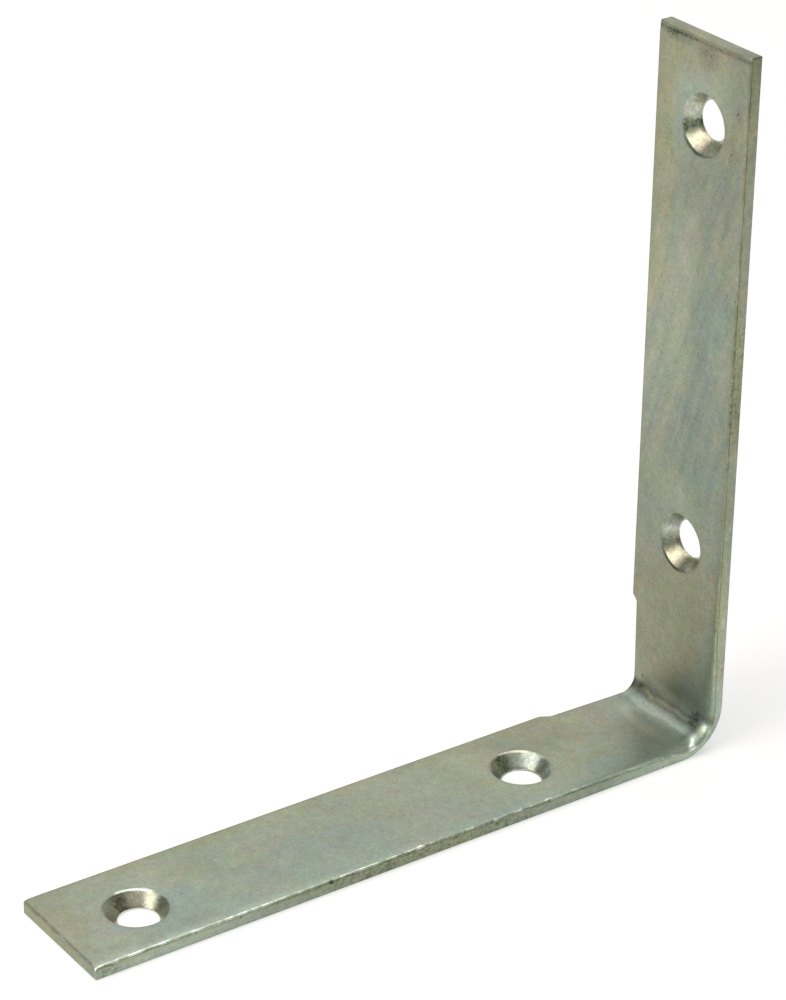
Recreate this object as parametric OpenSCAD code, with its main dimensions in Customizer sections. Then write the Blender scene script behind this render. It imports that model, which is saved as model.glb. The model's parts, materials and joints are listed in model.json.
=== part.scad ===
// Corner brace bracket: one strip of flat steel, folded square, with two countersunk screw
// holes in each leg. The outer faces of the legs are the mounting faces.
// The frame's origin is under the middle of the base leg, on its mounting face.
// +X points to the fold, +Y along the fold to the relieved edge, and +Z up the upright leg.

/* [Strip] */
// Length of the base leg, from its free end to the outer face of the upright leg
base_leg = 99.6; // [80:0.2:200]
// Length of the upright leg, from the underside of the base leg to its free end
upright_leg = 100.6; // [80:0.2:200]
// Width of the strip
strip_width = 18; // [14:0.5:40]
// Thickness of the strip
strip_thickness = 2; // [1.6:0.1:4]
// How far in from the plain edge the inner face starts to roll over
roll_width = 1.6; // [0.6:0.1:2.4]
// How far the inner face has dropped where it meets the plain edge
roll_drop = 0.3; // [0.1:0.05:0.5]

/* [Fold] */
// Radius inside the fold
inner_radius = 2; // [1:0.1:6]
// Thickness of the metal across the middle of the fold, which bending has thinned
fold_thickness = 0.9; // [0.8:0.1:2]

/* [Screw holes] */
// Radius of the straight part of each hole
hole_radius = 2.7; // [1.5:0.1:3.5]
// Length of the straight part, up from the mounting face
hole_land = 0.5; // [0.3:0.1:1]
// Full angle of the countersink
countersink_angle = 88; // [60:1:110]
// Radius of the rounded lip around each countersink
lip_radius = 0.3; // [0.1:0.05:0.5]
// Distance from the free end of a leg to its outer hole
end_to_hole = 11.1; // [8:0.1:16]
// Distance between the two holes of the base leg
base_hole_spacing = 60.5; // [20:0.1:60.8]
// Distance between the two holes of the upright leg
upright_hole_spacing = 60.5; // [20:0.1:60.8]
// How far the line of holes lies off the middle of the strip, away from the relieved edge
hole_offset = 0.8; // [0:0.1:1.2]

/* [Relieved edge] */
// Distance along the base leg from the outer corner to the middle of its step
base_relief_reach = 17; // [12:0.1:22]
// Distance up the upright leg from the outer corner to the middle of its step
upright_relief_reach = 16.3; // [12:0.1:22]
// Depth of the step on the base leg
base_relief_depth = 0.8; // [0.2:0.05:1.5]
// Depth of the step on the upright leg
upright_relief_depth = 0.9; // [0.2:0.05:1.5]
// Depth of the relief at the fold
fold_relief_depth = 1.2; // [0.2:0.05:1.5]
// Length of the sloping step on the base leg
base_step_slope = 1.5; // [0.4:0.1:3]
// Length of the sloping step on the upright leg
upright_step_slope = 0.8; // [0.4:0.1:3]

/* [Hidden] */

$fn = 96;
// How far a cutting shape runs past the metal that it cuts
past = 1;
half_width = strip_width / 2;
// The fold's inside radius ends this far from the outer corner, on both legs
fold_reach = strip_thickness + inner_radius;
// The outside radius that leaves fold_thickness between the two arcs, measured on the diagonal
outer_radius = (fold_reach * sqrt(2) - inner_radius - fold_thickness) / (sqrt(2) - 1);
// The rolled edge is an arc that is level where it starts and has dropped by roll_drop at the edge
roll_radius = (roll_width * roll_width + roll_drop * roll_drop) / (2 * roll_drop);
countersink_depth = strip_thickness - hole_land;
countersink_radius = hole_radius + countersink_depth * tan(countersink_angle / 2);
// The lip's arc is level at this distance outside the cone's mouth
lip_reach = lip_radius * tan((90 - countersink_angle / 2) / 2);

// Section across the strip, with the mounting face on y = 0 and the plain edge, which rolls
// over above, at x = -half_width
module strip_section() {
    intersection() {
        translate([-half_width, 0]) square([strip_width, strip_thickness]);
        union() {
            translate([-half_width + roll_width, 0])
                square([strip_width - roll_width, strip_thickness]);
            translate([-half_width + roll_width, strip_thickness - roll_radius])
                circle(roll_radius);
            translate([-half_width, 0])
                square([strip_width, strip_thickness - roll_drop]);
        }
    }
}

// A straight leg along +X from the end of the fold, with its mounting face on z = 0
module leg(length) {
    translate([fold_reach, 0, 0])
        rotate([90, 0, 90])
            linear_extrude(length - fold_reach) strip_section();
}

// What the strip goes round inside the fold, as a turned shape about the z axis
module fold_core() {
    rotate_extrude()
        difference() {
            translate([0, -half_width - past])
                square([fold_reach - strip_thickness / 2, strip_width + 2 * past]);
            translate([fold_reach, 0]) rotate(90) strip_section();
        }
}

// The fold: a block at the corner, hollowed by the core
module fold() {
    difference() {
        translate([0, -half_width, 0]) cube([fold_reach, strip_width, fold_reach]);
        translate([fold_reach, 0, fold_reach]) rotate([-90, 0, 0]) fold_core();
    }
}

// What the rounded outside of the fold takes off the corner
module outer_corner_cut() {
    difference() {
        translate([-past, -half_width - past, -past])
            cube([outer_radius + past, strip_width + 2 * past, outer_radius + past]);
        translate([outer_radius, 0, outer_radius]) rotate([90, 0, 0])
            cylinder(r = outer_radius, h = strip_width + 4 * past, center = true);
    }
}

// A screw hole up through a strip that lies on z = 0, countersunk and lipped from above
module screw_hole() {
    translate([0, 0, -past])
        cylinder(r = hole_radius, h = strip_thickness + past);
    translate([0, 0, hole_land])
        cylinder(r1 = hole_radius, r2 = countersink_radius, h = countersink_depth);
    lip_cut();
    translate([0, 0, strip_thickness])
        cylinder(r = countersink_radius + lip_reach, h = past);
}

// The ring that rounds the mouth of a countersink
module lip_cut() {
    wall_angle = countersink_angle / 2;
    lip_centre = countersink_radius + lip_reach;
    rotate_extrude()
        difference() {
            polygon([
                [0, strip_thickness],
                [lip_centre, strip_thickness],
                [lip_centre - lip_radius * cos(wall_angle),
                 strip_thickness - lip_radius + lip_radius * sin(wall_angle)],
                [0, strip_thickness - lip_radius + lip_radius * sin(wall_angle)],
            ]);
            translate([lip_centre, strip_thickness - lip_radius]) circle(lip_radius);
        }
}

// Both holes of a leg that runs along +X with its free end at x = length
module leg_holes(length, spacing) {
    for (along = [length - end_to_hole, length - end_to_hole - spacing])
        translate([along, -hole_offset, 0]) screw_hole();
}

// What the relief takes off the +Y edge of a leg that runs along +X
module leg_relief(reach, depth, slope) {
    translate([0, half_width, -past])
        linear_extrude(strip_thickness + 2 * past)
            polygon([
                [fold_reach, past],
                [fold_reach, -fold_relief_depth],
                [reach - slope / 2, -depth],
                [reach + slope / 2, 0],
                [reach + slope / 2, past],
            ]);
}

// The relief across the whole fold
module fold_relief() {
    translate([-past, half_width - fold_relief_depth, -past])
        cube([fold_reach + past, fold_relief_depth + past, fold_reach + past]);
}

// Turns a leg that lies along +X on z = 0 into the upright leg on x = 0
module stand_up() {
    mirror([1, 0, -1]) children();
}

// The whole bracket, with its outer corner at the origin and its base leg along +X
module bracket_at_corner() {
    difference() {
        union() {
            leg(base_leg);
            stand_up() leg(upright_leg);
            fold();
        }
        outer_corner_cut();
        leg_holes(base_leg, base_hole_spacing);
        stand_up() leg_holes(upright_leg, upright_hole_spacing);
        leg_relief(base_relief_reach, base_relief_depth, base_step_slope);
        stand_up() leg_relief(upright_relief_reach, upright_relief_depth, upright_step_slope);
        fold_relief();
    }
}

module corner_brace() {
    color([0.60, 0.61, 0.56])
        translate([base_leg / 2, 0, 0])
            mirror([1, 0, 0]) bracket_at_corner();
}

corner_brace();
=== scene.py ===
"""Looks for the corner brace: a zinc-plated steel strip, punched flat and then folded square.

The strip is made the way the real one is. Its two faces are laid out flat with their screw holes,
the edges are rolled and sheared, and the finished blank is folded about the inner radius.
"""

import json
import logging
import math
from dataclasses import dataclass, field
from enum import Enum

import bmesh
import bpy
from mathutils import Euler, Matrix, Vector, noise

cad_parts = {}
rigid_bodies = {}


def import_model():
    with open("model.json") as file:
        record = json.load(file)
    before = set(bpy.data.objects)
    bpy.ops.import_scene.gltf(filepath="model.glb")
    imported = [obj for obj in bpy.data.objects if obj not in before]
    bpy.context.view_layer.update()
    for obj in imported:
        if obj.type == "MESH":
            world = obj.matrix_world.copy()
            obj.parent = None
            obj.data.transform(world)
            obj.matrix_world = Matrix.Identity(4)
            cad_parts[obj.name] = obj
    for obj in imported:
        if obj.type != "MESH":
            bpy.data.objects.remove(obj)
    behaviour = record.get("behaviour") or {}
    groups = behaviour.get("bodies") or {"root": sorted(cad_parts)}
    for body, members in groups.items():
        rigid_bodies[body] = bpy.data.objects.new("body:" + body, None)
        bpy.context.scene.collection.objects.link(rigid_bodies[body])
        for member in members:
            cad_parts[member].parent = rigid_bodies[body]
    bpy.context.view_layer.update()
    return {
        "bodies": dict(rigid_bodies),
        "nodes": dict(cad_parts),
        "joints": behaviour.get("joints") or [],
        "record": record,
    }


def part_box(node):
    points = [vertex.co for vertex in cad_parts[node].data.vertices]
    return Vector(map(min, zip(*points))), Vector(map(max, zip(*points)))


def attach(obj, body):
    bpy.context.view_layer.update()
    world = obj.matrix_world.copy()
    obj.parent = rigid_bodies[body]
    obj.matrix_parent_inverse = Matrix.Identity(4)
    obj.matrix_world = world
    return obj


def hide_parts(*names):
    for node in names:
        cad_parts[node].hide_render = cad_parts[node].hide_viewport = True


MM = 0.001
NODE = "corner_brace"
BODY = "root"

log = logging.getLogger("corner_brace")


class Finish(Enum):
    """The three surfaces that the plated strip shows, in the order of its material slots."""

    ROLLED = 0
    SHEARED = 1
    BORED = 2


class Leg(Enum):
    """The two legs, by the way they run along the blank."""

    BASE = -1
    UPRIGHT = 1


def smooth(t: float) -> float:
    """Eases t from 0 to 1, level at both ends."""
    t = min(max(t, 0.0), 1.0)
    return t * t * (3.0 - 2.0 * t)


def blend(table: list[tuple[float, float]], at: float) -> float:
    """Reads a table of (place, value) pairs.

    Args:
        table: the pairs, in order of place.
        at: the place to read.

    Returns:
        The value there, straight between its neighbours and held past the two ends.
    """
    if at <= table[0][0]:
        return table[0][1]
    for (x0, y0), (x1, y1) in zip(table, table[1:]):
        if at <= x1:
            return y0 + (y1 - y0) * (at - x0) / (x1 - x0)
    return table[-1][1]


@dataclass(frozen=True)
class Hole:
    """One countersunk screw hole of the flat blank, in millimetres.

    Its profile runs from the mounting face up to the inner face, as (radius, depth) pairs.
    """

    along: float
    across: float
    radius: float = 2.7
    land: float = 0.34
    half_angle: float = 43.0
    lip: float = 0.5
    lean: tuple[float, float] = (0.0, 0.2)
    breakout: float = 0.0
    # Marks round the wall, each (direction, half spread, strength): soot is painted shade with a grimy tint, gleam
    # a painted highlight on the lip, sheen a painted highlight on the wall, dull a painted shade along the lip,
    # tint a brown or blue stain.
    soot_and_shade: tuple[tuple[float, float, float], ...] = ()
    gleam: tuple[tuple[float, float, float], ...] = ()
    sheen: tuple[tuple[float, float, float], ...] = ()
    lip_shade: tuple[tuple[float, float, float], ...] = ()
    tint: tuple[tuple[float, float, float], ...] = ()

    def shift(self, depth: float, thickness: float) -> Vector:
        """How far the countersink has wandered off the bore at a depth."""
        throat = thickness - self.land
        return Vector(self.lean) * min(max((throat - depth) / throat, 0.0), 1.0)

    def mouth(self, thickness: float) -> float:
        """The radius at which the countersink's cone would meet the inner face."""
        return self.radius + (thickness - self.land) * math.tan(math.radians(self.half_angle))

    @staticmethod
    def sector(marks: tuple[tuple[float, float, float], ...], turn: float) -> float:
        """Adds up marks round the wall.

        Args:
            marks: each mark's (direction, half spread, strength), in degrees.
            turn: the direction to read, in degrees from the blank's length.

        Returns:
            How strong they are there.
        """
        total = 0.0
        for middle, spread, strength in marks:
            away = abs((turn - middle + 180.0) % 360.0 - 180.0) / spread
            total += strength * smooth(1.3 * (1.0 - away))
        return total

    def profile(self, thickness: float) -> list[tuple[float, float]]:
        """Lists the rings of the hole.

        Args:
            thickness: the thickness of the strip.

        Returns:
            The (radius, depth below the inner face) of each ring, from the bottom up.
        """
        wall = math.radians(self.half_angle)
        mouth = self.mouth(thickness)
        centre = mouth + self.lip * math.tan(math.radians(90 - self.half_angle) / 2)
        rings = [(self.radius + self.breakout, thickness)]
        rings += [(self.radius + 0.5 * self.breakout, thickness - self.land / 2)]
        rings += [(self.radius, thickness - self.land + 0.05)]
        foot = centre - self.lip * math.cos(wall)
        foot_depth = self.lip - self.lip * math.sin(wall)
        steps = 6
        for i in range(steps + 1):
            t = i / steps
            radius = self.radius + 0.04 + (foot - self.radius - 0.04) * t
            depth = thickness - self.land - 0.03 + (foot_depth - thickness + self.land + 0.03) * t
            rings.append((radius, depth))
        for i in range(1, 7):
            turn = wall + (math.pi / 2 - wall) * i / 6
            rings.append((centre - self.lip * math.cos(turn), self.lip * (1 - math.sin(turn))))
        return rings


@dataclass(frozen=True)
class Spot:
    """A soft-edged mark on one leg, in millimetres.

    Its place is measured from the outer corner out along the leg, and from the middle of the
    strip towards the relieved edge. Its size is half its length and half its width.
    """

    leg: Leg
    out: float
    across: float
    length: float
    width: float
    strength: float = 1.0

    def read(self, out: float, across: float) -> float:
        """Tells how strong the mark is at a place on its leg."""
        x, y = (out - self.out) / self.length, (across - self.across) / self.width
        away = x * x + y * y
        return self.strength * smooth(1.0 - away) if away < 1.0 else 0.0


@dataclass
class WearAndLight:
    """Where the plating has stained brown, turned blue or caught grime, and where edges are rubbed shiny or carry a
    painted highlight.

    The last list paints light and shade: patches a shade lighter or darker, such as the lighter patch on the base
    beside the fold, among plating that differs at random.
    """

    stains: tuple[Spot, ...] = (
        Spot(Leg.BASE, 22.0, 4.0, 22.0, 13.0, 0.6),
        Spot(Leg.BASE, 60.0, 10.0, 60.0, 5.0, 0.7),
        Spot(Leg.BASE, 100.0, 3.0, 9.0, 12.0, 0.6),
        Spot(Leg.UPRIGHT, 15.0, 3.0, 14.0, 12.0, 1.2),
        Spot(Leg.UPRIGHT, 24.0, -6.0, 8.0, 6.0, 0.6),
        Spot(Leg.UPRIGHT, 88.0, -6.5, 7.0, 3.5, 0.8),
        Spot(Leg.UPRIGHT, 80.0, 7.5, 24.0, 4.5, 1.1),
        Spot(Leg.UPRIGHT, 99.0, 0.0, 4.5, 12.0, 0.7),
        Spot(Leg.BASE, 50.0, -9.1, 24.0, 0.6, 0.8),
        Spot(Leg.UPRIGHT, 56.0, -9.1, 14.0, 0.6, 0.8),
        Spot(Leg.UPRIGHT, 96.0, -9.1, 10.0, 0.6, 0.6),
    )
    blues: tuple[Spot, ...] = (
        Spot(Leg.BASE, 60.0, -3.5, 14.0, 7.0, 1.0),
        Spot(Leg.BASE, 83.0, -4.0, 16.0, 7.5, 0.8),
        Spot(Leg.BASE, 60.0, -8.6, 58.0, 2.2, 0.8),
        Spot(Leg.BASE, 11.0, -8.0, 14.0, 6.0, 1.0),
        Spot(Leg.BASE, 4.5, 0.0, 3.5, 11.0, 1.2),
        Spot(Leg.UPRIGHT, 7.0, -6.5, 8.0, 6.0, 1.1),
        Spot(Leg.UPRIGHT, 44.0, -3.0, 14.0, 8.0, 0.8),
        Spot(Leg.UPRIGHT, 62.0, -4.0, 20.0, 5.0, 0.7),
        Spot(Leg.UPRIGHT, 91.0, 1.5, 7.0, 5.0, 0.7),
    )
    grime_and_shade: tuple[Spot, ...] = (
        Spot(Leg.UPRIGHT, 4.9, 6.1, 0.6, 0.6, 0.9),
        Spot(Leg.UPRIGHT, 4.2, -6.2, 1.1, 1.2, 0.58),
        Spot(Leg.UPRIGHT, 98.9, -0.8, 1.0, 2.6, 0.36),
        Spot(Leg.UPRIGHT, 99.5, 6.4, 0.8, 2.0, 0.45),
        Spot(Leg.UPRIGHT, 66.5, -7.2, 2.6, 0.5, 0.42),
        Spot(Leg.UPRIGHT, 63.0, -7.6, 1.2, 0.4, 0.4),
        Spot(Leg.UPRIGHT, 87.0, -6.6, 1.2, 0.6, 0.4),
        Spot(Leg.UPRIGHT, 92.5, -7.4, 0.8, 0.7, 0.5),
        Spot(Leg.UPRIGHT, 56.0, -9.0, 14.0, 0.6, 0.3),
        Spot(Leg.BASE, 97.5, -9.0, 2.0, 0.5, 0.4),
        Spot(Leg.BASE, 48.0, -9.0, 30.0, 0.5, 0.35),
    )
    # Painted highlights on the plain edge of the base.
    rubs_and_highlights: tuple[Spot, ...] = (
        Spot(Leg.BASE, 50.5, -8.85, 0.5, 0.4, 0.8),
        Spot(Leg.BASE, 29.5, -8.85, 0.6, 0.4, 0.9),
    )
    # Painted light and shade: patches a shade lighter or darker.
    tones_and_painted_light: tuple[Spot, ...] = (
        Spot(Leg.UPRIGHT, 64.0, 6.5, 26.0, 10.0, 0.26),
        Spot(Leg.UPRIGHT, 60.0, -6.5, 9.0, 4.0, 0.14),
        Spot(Leg.UPRIGHT, 97.0, 2.0, 15.0, 10.0, 0.2),
        Spot(Leg.UPRIGHT, 98.5, -1.0, 2.4, 3.2, -0.28),
        Spot(Leg.UPRIGHT, 99.6, 5.0, 1.4, 4.0, -0.25),
        Spot(Leg.UPRIGHT, 5.8, -3.2, 2.8, 4.4, -0.15),
        Spot(Leg.UPRIGHT, 7.0, 7.0, 3.0, 3.0, 0.1),
        Spot(Leg.BASE, 6.3, -1.5, 2.6, 9.0, 0.38),
        Spot(Leg.BASE, 8.0, -6.5, 4.0, 2.5, 0.12),
        Spot(Leg.BASE, 22.0, 5.0, 8.0, 6.0, -0.12),
        Spot(Leg.BASE, 92.0, -9.2, 22.0, 0.7, 0.35),
        Spot(Leg.BASE, 9.0, -9.2, 12.0, 0.7, 0.45),
        Spot(Leg.UPRIGHT, 14.0, -9.2, 24.0, 0.7, 0.32),
        Spot(Leg.UPRIGHT, 98.0, -9.2, 8.0, 0.7, -0.2),
    )

    def on(self, leg: Leg) -> list[list[Spot]]:
        """Lists the stains, blues, grime, rubs with painted highlights, and painted light and shade of one leg."""
        kinds = (self.stains, self.blues, self.grime_and_shade, self.rubs_and_highlights, self.tones_and_painted_light)
        return [[spot for spot in spots if spot.leg is leg] for spots in kinds]


@dataclass(frozen=True)
class Nick:
    """A small dent in the plain edge's wall, in millimetres from the outer corner and the top."""

    leg: Leg
    out: float
    depth: float
    size: float
    pull: float

    def read(self, out: float, depth: float) -> float:
        """Tells how far the wall is knocked in at a place on this leg."""
        away = math.hypot(out - self.out, depth - self.depth) / self.size
        return self.pull * (1.0 - away * away) ** 2 if away < 1.0 else 0.0


@dataclass
class Blank:
    """The flat strip before it is folded, in millimetres.

    Places on it are (along, across, depth): along starts where the inner face meets the fold and
    grows towards the upright leg's end, across grows towards the relieved edge, and depth is
    measured down from the inner face.
    """

    base_leg: float
    upright_leg: float
    width: float
    thickness: float
    holes: list[Hole]
    inner_radius: float = 2.0
    fold_thickness: float = 0.9
    fold_swell: float = 1.8
    ring_sides: int = 128
    tile: float = 7.0
    near_chain: float = -6.6
    far_chain: float = 6.0
    roll_width: float = 1.6
    roll_drop: float = 0.3
    wear: WearAndLight = field(default_factory=WearAndLight)
    nicks: tuple[Nick, ...] = (
        Nick(Leg.BASE, 64.5, 0.25, 0.45, 0.24),
        Nick(Leg.BASE, 78.3, 0.4, 0.35, 0.15),
        Nick(Leg.BASE, 72.8, 0.35, 0.3, 0.1),
        Nick(Leg.BASE, 68.4, 0.4, 0.35, 0.1),
        Nick(Leg.BASE, 38.0, 0.95, 0.35, 0.16),
        Nick(Leg.BASE, 85.0, 0.3, 0.45, 0.13),
        Nick(Leg.BASE, 29.5, 0.15, 0.4, 0.14),
        Nick(Leg.UPRIGHT, 12.5, 1.5, 0.5, 0.12),
        Nick(Leg.UPRIGHT, 63.5, 0.9, 0.4, 0.1),
        Nick(Leg.UPRIGHT, 90.0, 1.6, 0.5, 0.12),
    )
    step: float = 0.65
    fine_step: float = 0.2
    relief_base: list[tuple[float, float]] = field(
        default_factory=lambda: [(4.0, 1.2), (16.25, 0.8), (17.75, 0.0)]
    )
    relief_upright: list[tuple[float, float]] = field(
        default_factory=lambda: [(4.0, 1.2), (15.9, 0.9), (16.7, 0.0)]
    )

    @property
    def fold_reach(self) -> float:
        """How far the inner radius starts from the outer corner, on both legs."""
        return self.thickness + self.inner_radius

    @property
    def outer_radius(self) -> float:
        """The outside radius that leaves fold_thickness across the middle of the fold."""
        return (self.fold_reach * math.sqrt(2) - self.inner_radius - self.fold_thickness) / (
            math.sqrt(2) - 1
        )

    @property
    def arc(self) -> float:
        """The length of the inner face round the fold."""
        return self.inner_radius * math.pi / 2

    @property
    def start(self) -> float:
        """Where the base leg's free end lies along the blank."""
        return self.fold_reach - self.base_leg

    @property
    def end(self) -> float:
        """Where the upright leg's free end lies along the blank."""
        return self.arc + self.upright_leg - self.fold_reach

    def corner_distance(self, along: float) -> float:
        """How far a place lies from the outer corner, measured along its own leg."""
        if along < self.arc / 2:
            return self.fold_reach - min(along, 0.0)
        return self.fold_reach + max(along - self.arc, 0.0)

    def place(self, leg: Leg, out: float) -> float:
        """Turns a distance from the outer corner along a leg into a place along the blank."""
        reach = out - self.fold_reach
        return -reach if leg is Leg.BASE else self.arc + reach

    def relief(self, along: float) -> float:
        """How deep the relief cuts into the far edge at a place along the blank."""
        table = self.relief_base if along < self.arc / 2 else self.relief_upright
        return blend(table, self.corner_distance(along))

    def roll(self, along: float, across: float) -> float:
        """How far the inner face has rolled over at a place near its plain edge."""
        pinch = smooth((18.0 - self.corner_distance(along)) / 15.0)
        width = self.roll_width + 0.25 * pinch
        turn = (along + self.fold_swell) / (self.arc + 2 * self.fold_swell)
        pucker = 0.16 * smooth(1.0 - abs(turn - 0.5) / 0.14)
        drop = self.roll_drop + 0.42 * pinch - pucker
        drop *= 1.0 + 0.22 * noise.noise(Vector((along * 0.35, 3.1, 0.0)))
        drop *= 1.0 + 0.12 * noise.noise(Vector((along * 1.6, 7.7, 0.0)))
        reach = width - (across + self.width / 2)
        if reach <= 0:
            return 0.0
        reach /= width
        gentle = 0.55 + 0.15 * pinch
        return drop * (gentle * reach**2 + (1.0 - gentle) * reach**9)

    def far_roll(self, across: float) -> float:
        """How far the inner face has rolled over at a place near its relieved edge."""
        reach = max(across - (self.width / 2 - 2.4), 0.0) / 2.4
        return 0.03 * reach**2 + 0.05 * reach**12

    def end_roll(self, along: float) -> float:
        """How far the inner face has rolled over towards a free end."""
        base, upright = along - self.start, self.end - along
        if base < upright:
            reach = max(1.4 - base, 0.0) / 1.4
            return 0.1 * reach**2 + 0.16 * reach**7
        reach = max(1.8 - upright, 0.0) / 1.8
        return 0.12 * reach**2 + 0.02 * reach**9

    def stations(self, first: float, last: float) -> list[float]:
        """Lists the places to cut a plain stretch at, closer together where its shape changes.

        Args:
            first: where the stretch starts.
            last: where it ends.

        Returns:
            The places after the first, ending with the last.
        """
        fine = [(-4.5, 7.7), (-14.2, -11.8), (14.6, 16.3)]
        for nick in self.nicks:
            place = self.place(nick.leg, nick.out)
            fine.append((place - nick.size, place + nick.size))
        places, at = [], first
        way = 1.0 if last > first else -1.0
        while (last - at) * way > 1e-6:
            gap = self.step
            if any(lo - 0.3 < at < hi + 0.3 for lo, hi in fine):
                gap = self.fine_step
            ends = min(at - self.start, self.end - at)
            if ends < 1.6:
                gap = min(gap, max(0.13, ends * 0.25))
            at += gap * way
            places.append(at)
        scale = (last - first) / (places[-1] - first)
        places = [first + (p - first) * scale for p in places]
        return [p for p in places[:-1] if abs(p - last) > 0.12] + [last]

    def punch(self, bm: bmesh.types.BMesh, hole: Hole, rings: list[tuple[float, float]]) -> None:
        """Makes one hole and the square tile of sheet round it.

        Args:
            bm: the sheet being made.
            hole: the hole.
            rings: its rings, as (radius, depth) pairs, from the innermost out.
        """
        centre = Vector((hole.along, hole.across, 0.0))
        first = Matrix.Translation(centre - Vector((0, 0, rings[0][1])))
        ring = bmesh.ops.create_circle(
            bm, segments=self.ring_sides, radius=rings[0][0], matrix=first, cap_ends=False
        )["verts"]
        edges = list(dict.fromkeys(e for v in ring for e in v.link_edges))
        leans = []
        for radius, depth in rings[1:]:
            edges, ring = self.widen(bm, edges)
            lean = hole.shift(depth, self.thickness) if len(rings) > 2 else Vector((0, 0))
            for v in ring:
                flat = Vector((v.co.x - centre.x, v.co.y - centre.y)).normalized() * radius
                v.co = (centre.x + flat.x, centre.y + flat.y, -depth)
            if lean.length:
                leans.append((ring, lean))
        for radius in (4.85, 5.2):
            edges, ring = self.widen(bm, edges)
            for v in ring:
                flat = Vector((v.co.x - centre.x, v.co.y - centre.y)).normalized() * radius
                v.co = (centre.x + flat.x, centre.y + flat.y, 0.0)
        edges, ring = self.widen(bm, edges)
        corners = [
            Vector((centre.x + x, y, 0.0))
            for x in (-self.tile, self.tile)
            for y in (self.near_chain, self.far_chain)
        ]
        for v in ring:
            ray = v.co - centre
            room = [self.tile / abs(ray.x)] if abs(ray.x) > 1e-9 else []
            if abs(ray.y) > 1e-9:
                side = self.far_chain if ray.y > 0 else self.near_chain
                room.append((side - centre.y) / ray.y)
            v.co = centre + Vector((ray.x, ray.y, 0.0)) * min(room)
        for corner in corners:
            min(ring, key=lambda v: (v.co - corner).length).co = corner
        for leaning, lean in leans:
            bmesh.ops.translate(bm, verts=leaning, vec=lean.to_3d())

    @staticmethod
    def widen(bm: bmesh.types.BMesh, edges: list) -> tuple[list, list]:
        """Extrudes a chain of edges in place.

        Args:
            bm: the sheet being made.
            edges: the chain.

        Returns:
            The new chain's edges, and its vertices.
        """
        made = bmesh.ops.extrude_edge_only(bm, edges=edges)["geom"]
        verts = [g for g in made if isinstance(g, bmesh.types.BMVert)]
        known = set(verts)
        chain = [
            g
            for g in made
            if isinstance(g, bmesh.types.BMEdge) and g.verts[0] in known and g.verts[1] in known
        ]
        return chain, verts

    @staticmethod
    def spread(bm: bmesh.types.BMesh, edges: list, axis: int, places: list[float]) -> None:
        """Carries a chain of edges along one axis and cuts the new sheet at every place.

        Args:
            bm: the sheet being made.
            edges: the chain, which lies square to the axis.
            axis: the axis to go along.
            places: where the cuts come, in order, and last where the chain ends up.
        """
        first = edges[0].verts[0].co[axis]
        made = bmesh.ops.extrude_edge_only(bm, edges=edges)["geom"]
        tips = [g for g in made if isinstance(g, bmesh.types.BMVert)]
        known = set(tips)
        for v in tips:
            v.co[axis] = places[-1]
        rungs = [e for v in tips for e in v.link_edges if e.other_vert(v) not in known]
        cuts = len(places) - 1
        if cuts:
            new = bmesh.ops.subdivide_edges(bm, edges=rungs, cuts=cuts, use_grid_fill=True)
            gap = (places[-1] - first) / len(places)
            for g in new["geom_inner"]:
                if isinstance(g, bmesh.types.BMVert):
                    g.co[axis] = places[round((g.co[axis] - first) / gap) - 1]

    @staticmethod
    def rim(bm: bmesh.types.BMesh, axis: int, place: float) -> list:
        """Finds the open edges that lie at one place along an axis."""
        return [
            e
            for e in bm.edges
            if e.is_boundary and all(abs(v.co[axis] - place) < 1e-4 for v in e.verts)
        ]

    def lay_face(self, bm: bmesh.types.BMesh, mounting: bool) -> None:
        """Lays out one face of the blank with its holes, and its edges out to their lines.

        Args:
            bm: the mesh to add it to.
            mounting: true for the mounting face, which has the plain bores.
        """
        sheet = bmesh.new()
        for hole in self.holes:
            rings = hole.profile(self.thickness)
            if mounting:
                bore = hole.radius + hole.breakout
                rings = [(bore, 0.0), (bore + 0.3, 0.0)]
            self.punch(sheet, hole, rings)
        sides = [side for hole in self.holes for side in (hole.along - self.tile, hole.along + self.tile)]
        self.run_on(sheet, sides[0], self.start)
        for side, goal in zip(sides[1::2], sides[2::2] + [self.end]):
            self.run_on(sheet, side, goal)
        bmesh.ops.remove_doubles(sheet, verts=sheet.verts, dist=1e-3)
        near = (-6.95, -7.3, -7.6, -7.85, -8.1, -8.3, -8.46, -8.6, -8.71, -8.8, -8.87, -9.0)
        far = (6.5, 7.0, 7.5, 8.0, 8.3, 8.55, 8.75, 8.87, 9.0)
        for chain, rows in ((self.near_chain, near), (self.far_chain, far)):
            places = [row * self.width / 18.0 for row in rows]
            self.spread(sheet, self.rim(sheet, 1, chain), 1, places)
        if mounting:
            bmesh.ops.translate(sheet, verts=sheet.verts, vec=(0, 0, -self.thickness))
        mesh = bpy.data.meshes.new("sheet")
        sheet.to_mesh(mesh)
        sheet.free()
        bm.from_mesh(mesh)
        bpy.data.meshes.remove(mesh)

    def run_on(self, bm: bmesh.types.BMesh, side: float, goal: float) -> None:
        """Carries one side of a tile along the blank.

        Args:
            bm: the sheet being made.
            side: where that side lies along the blank.
            goal: where the stretch ends.
        """
        self.spread(bm, self.rim(bm, 0, side), 0, self.stations(side, goal))

    def wall(self, bm: bmesh.types.BMesh) -> None:
        """Joins the two faces round the outline, in rows that later take the shear marks."""
        outline = [e for e in bm.edges if e.is_boundary]
        half = self.width / 2

        def outer(edge: bmesh.types.BMEdge, depth: float) -> bool:
            """Tells an edge of the outline at one depth from the rim of a bore."""
            mid = (edge.verts[0].co + edge.verts[1].co) / 2
            if abs(mid.z + depth) > 1e-4:
                return False
            return (
                abs(abs(mid.y) - half) < 1e-4
                or abs(mid.x - self.start) < 1e-4
                or abs(mid.x - self.end) < 1e-4
            )

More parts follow.
